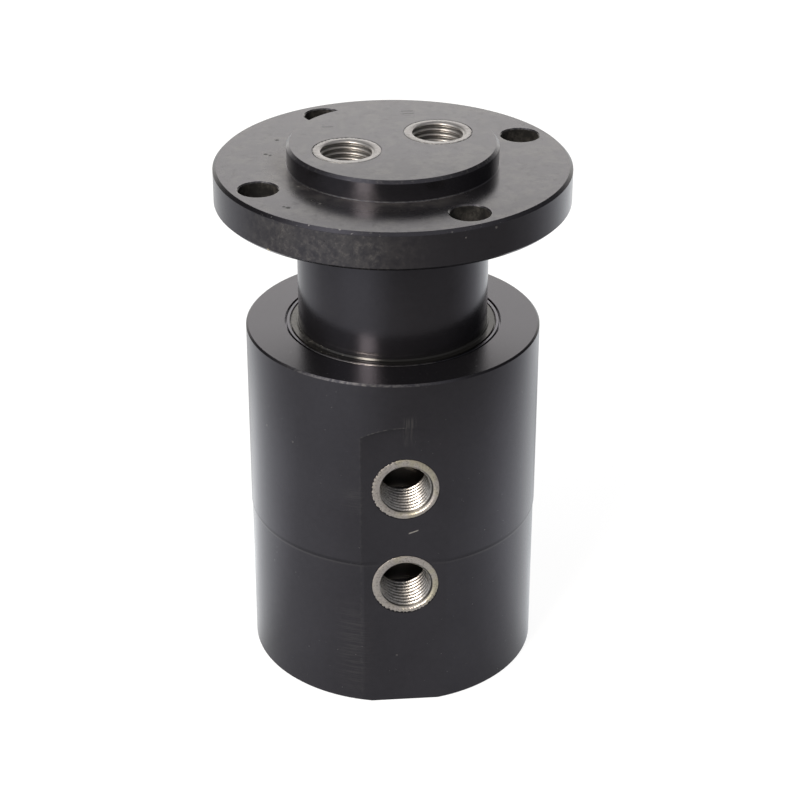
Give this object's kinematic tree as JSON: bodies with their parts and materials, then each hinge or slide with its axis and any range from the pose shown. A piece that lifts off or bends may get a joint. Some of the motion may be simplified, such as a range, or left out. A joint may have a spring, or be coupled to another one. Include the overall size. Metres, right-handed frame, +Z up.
{
  "type": "hydraulic rotary union",
  "caption": "Two-passage hydraulic rotary union: a flanged shaft with threaded end ports turns without limit in a cylindrical housing with threaded side ports on a flat.",
  "frame": {"origin": "centre of the housing's foot, on the turning axis", "axes": "+Z up along the turning axis from the housing's foot to the flange; -Y out of the side ports"},
  "size_m": [0.083, 0.083, 0.132],
  "materials": {
    "black_oxide_steel": "satin black oxide on turned steel",
    "bare_steel": "bare machined steel",
    "seal_case_steel": "phosphated sheet steel",
    "spring_steel": "phosphated spring steel",
    "screw_steel": "black oxide, oiled",
    "nitrile_rubber": "matt moulded rubber",
    "bronze": "turned bearing bronze",
    "filled_ptfe": "bronze-filled PTFE"
  },
  "bodies": {
    "housing": {"housing": "black_oxide_steel", "shaft_seal_case": "seal_case_steel", "shaft_seal_rubber": "nitrile_rubber", "shaft_seal_spring": "spring_steel", "upper_bush": "bronze", "lower_bush": "bronze", "rotary_seal_upper": "filled_ptfe", "rotary_seal_middle": "filled_ptfe", "rotary_seal_lower": "filled_ptfe", "energiser_ring_upper": "nitrile_rubber", "energiser_ring_middle": "nitrile_rubber", "energiser_ring_lower": "nitrile_rubber", "upper_thrust_washer": "bronze", "lower_thrust_washer": "bronze", "bottom_cover": "black_oxide_steel", "cover_o_ring": "nitrile_rubber", "cover_circlip": "spring_steel"},
    "rotor": {"flanged_shaft": "black_oxide_steel", "retaining_plate": "bare_steel", "retaining_plate_screws": "screw_steel", "retaining_plate_pins": "bare_steel"}
  },
  "joints": [
    {"name": "rotor_turn", "type": "hinge", "parent": "housing", "child": "rotor", "pos_m": [0, 0, 0], "axis": [0, 0, 1], "continuous": true}
  ]
}
